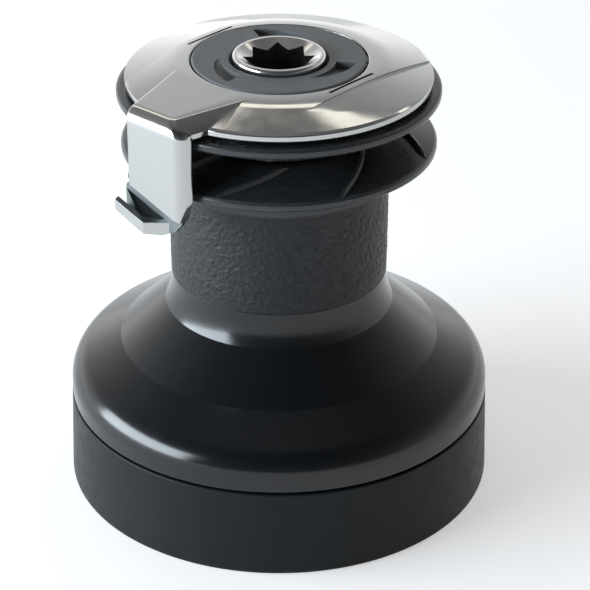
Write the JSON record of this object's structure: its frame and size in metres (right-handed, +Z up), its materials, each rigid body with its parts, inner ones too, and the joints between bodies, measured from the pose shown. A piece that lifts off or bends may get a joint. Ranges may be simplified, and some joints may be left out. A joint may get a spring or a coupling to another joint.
{
  "type": "sailboat winch",
  "caption": "Two-speed self-tailing sheet winch with a rope drum, spring-loaded gripping jaws, a feeder arm, a top handle socket and an internal gear train.",
  "frame": {"origin": "centre of the round base, on the deck face", "axes": "+Z up along the drum axis, +X to the right and +Y to the back, with the feeder arm at the front left"},
  "size_m": [0.1532, 0.1532, 0.1609],
  "materials": {
    "base_band": "satin black",
    "drum_black": "semi-gloss black",
    "jaw_black": "gloss black",
    "chrome_cover": "polished, lightly satin",
    "cap_grey": "matte grey",
    "polished_steel": "polished",
    "steel": "machined",
    "bronze": "machined bronze",
    "casting": "cast",
    "inner_plastic": "matte black",
    "nylon": "natural nylon"
  },
  "bodies": {
    "base": {"base_skirt": "base_band", "gear_housing": "casting", "second_gear_pin": "steel", "first_gear_pin": "steel", "idler_pin": "steel", "centre_stem": "casting", "stem_bolt_1": "steel", "stem_bolt_2": "steel", "stem_bolt_3": "steel", "stem_bolt_4": "steel", "lower_spindle_bush": "nylon", "upper_spindle_bush": "nylon", "thrust_washer": "nylon", "bearing_spacer": "inner_plastic", "stem_collar": "steel", "feeder_arm": "chrome_cover", "stripper_ring": "inner_plastic", "top_cap": "cap_grey"},
    "drum": {"drum": "drum_black", "drum_gear_ring": "bronze", "upper_jaw": "jaw_black", "jaw_screw_1": "steel", "jaw_screw_2": "steel", "jaw_screw_3": "steel", "jaw_spring_1": "steel", "jaw_spring_2": "steel", "jaw_spring_3": "steel"},
    "lower_jaw": {"lower_jaw": "jaw_black"},
    "spindle": {"main_spindle": "polished_steel", "spindle_gear": "bronze", "spindle_circlip": "steel"},
    "second_gear": {"second_gear": "bronze"},
    "second_pinion": {"second_pinion": "steel", "second_pawl_spring_1": "steel", "second_pawl_spring_2": "steel"},
    "second_pawl_1": {"second_pawl_1": "steel"},
    "second_pawl_2": {"second_pawl_2": "steel"},
    "idler": {"idler_gear": "bronze"},
    "first_gear": {"first_gear": "bronze", "first_pawl_spring_1": "steel", "first_pawl_spring_2": "steel"},
    "first_pinion": {"first_pinion": "steel"},
    "first_pawl_1": {"first_pawl_1": "steel"},
    "first_pawl_2": {"first_pawl_2": "steel"},
    "lower_bearing": {"lower_roller_cage": "nylon", "lower_roller_1": "steel", "lower_roller_2": "steel", "lower_roller_3": "steel", "lower_roller_4": "steel", "lower_roller_5": "steel", "lower_roller_6": "steel"},
    "upper_bearing": {"upper_roller_cage": "nylon", "upper_roller_1": "steel", "upper_roller_2": "steel", "upper_roller_3": "steel", "upper_roller_4": "steel", "upper_roller_5": "steel", "upper_roller_6": "steel"}
  },
  "joints": [
    {"name": "drum_spin", "type": "hinge", "parent": "base", "child": "drum", "pos_m": [0, 0, 0], "axis": [0, 0, 1], "continuous": true},
    {"name": "lower_jaw_slide", "type": "slide", "parent": "drum", "child": "lower_jaw", "axis": [0, 0, 1], "range_m": [-0.003, 0], "stiffness_N_per_m": 2000, "springref_m": 0.004, "deforming": ["jaw_spring_1", "jaw_spring_2", "jaw_spring_3"]},
    {"name": "spindle_spin", "type": "hinge", "parent": "base", "child": "spindle", "pos_m": [0, 0, 0], "axis": [0, 0, 1], "continuous": true},
    {"name": "second_gear_spin", "type": "hinge", "parent": "base", "child": "second_gear", "pos_m": [0.01035, 0.03864, 0], "axis": [0, 0, 1], "continuous": true},
    {"name": "second_pinion_spin", "type": "hinge", "parent": "base", "child": "second_pinion", "pos_m": [0.01035, 0.03864, 0], "axis": [0, 0, 1], "continuous": true},
    {"name": "idler_spin", "type": "hinge", "parent": "base", "child": "idler", "pos_m": [0.00113, -0.03198, 0], "axis": [0, 0, 1], "continuous": true},
    {"name": "first_gear_spin", "type": "hinge", "parent": "base", "child": "first_gear", "pos_m": [-0.02466, -0.03522, 0], "axis": [0, 0, 1], "continuous": true},
    {"name": "first_pinion_spin", "type": "hinge", "parent": "base", "child": "first_pinion", "pos_m": [-0.02466, -0.03522, 0], "axis": [0, 0, 1], "continuous": true},
    {"name": "lower_bearing_spin", "type": "hinge", "parent": "base", "child": "lower_bearing", "pos_m": [0, 0, 0], "axis": [0, 0, 1], "continuous": true},
    {"name": "upper_bearing_spin", "type": "hinge", "parent": "base", "child": "upper_bearing", "pos_m": [0, 0, 0], "axis": [0, 0, 1], "continuous": true},
    {"name": "second_pawl_1_swing", "type": "hinge", "parent": "second_pinion", "child": "second_pawl_1", "pos_m": [0.01468, 0.05477, 0], "axis": [0, 0, 1], "range_deg": [-20, 0]},
    {"name": "second_pawl_2_swing", "type": "hinge", "parent": "second_pinion", "child": "second_pawl_2", "pos_m": [0.00343, 0.02344, 0], "axis": [0, 0, 1], "range_deg": [-20, 0]},
    {"name": "first_pawl_1_swing", "type": "hinge", "parent": "first_gear", "child": "first_pawl_1", "pos_m": [-0.03092, -0.04415, 0], "axis": [0, 0, 1], "range_deg": [-20, 0], "stiffness_Nm_per_rad": 0.002, "springref_deg": 17.19},
    {"name": "first_pawl_2_swing", "type": "hinge", "parent": "first_gear", "child": "first_pawl_2", "pos_m": [-0.01841, -0.02629, 0], "axis": [0, 0, 1], "range_deg": [-20, 0], "stiffness_Nm_per_rad": 0.002, "springref_deg": 17.19}
  ],
  "couplings": [
    {"joint": "spindle_spin", "follows": "drum_spin", "ratio": 2.1333},
    {"joint": "second_gear_spin", "follows": "drum_spin", "ratio": -0.91429},
    {"joint": "second_pinion_spin", "follows": "drum_spin", "ratio": 2.6667},
    {"joint": "idler_spin", "follows": "drum_spin", "ratio": -3.5556},
    {"joint": "first_gear_spin", "follows": "drum_spin", "ratio": 3.0476},
    {"joint": "first_pinion_spin", "follows": "drum_spin", "ratio": 3.0476},
    {"joint": "lower_bearing_spin", "follows": "drum_spin", "ratio": 0.5614},
    {"joint": "upper_bearing_spin", "follows": "drum_spin", "ratio": 0.5614}
  ]
}
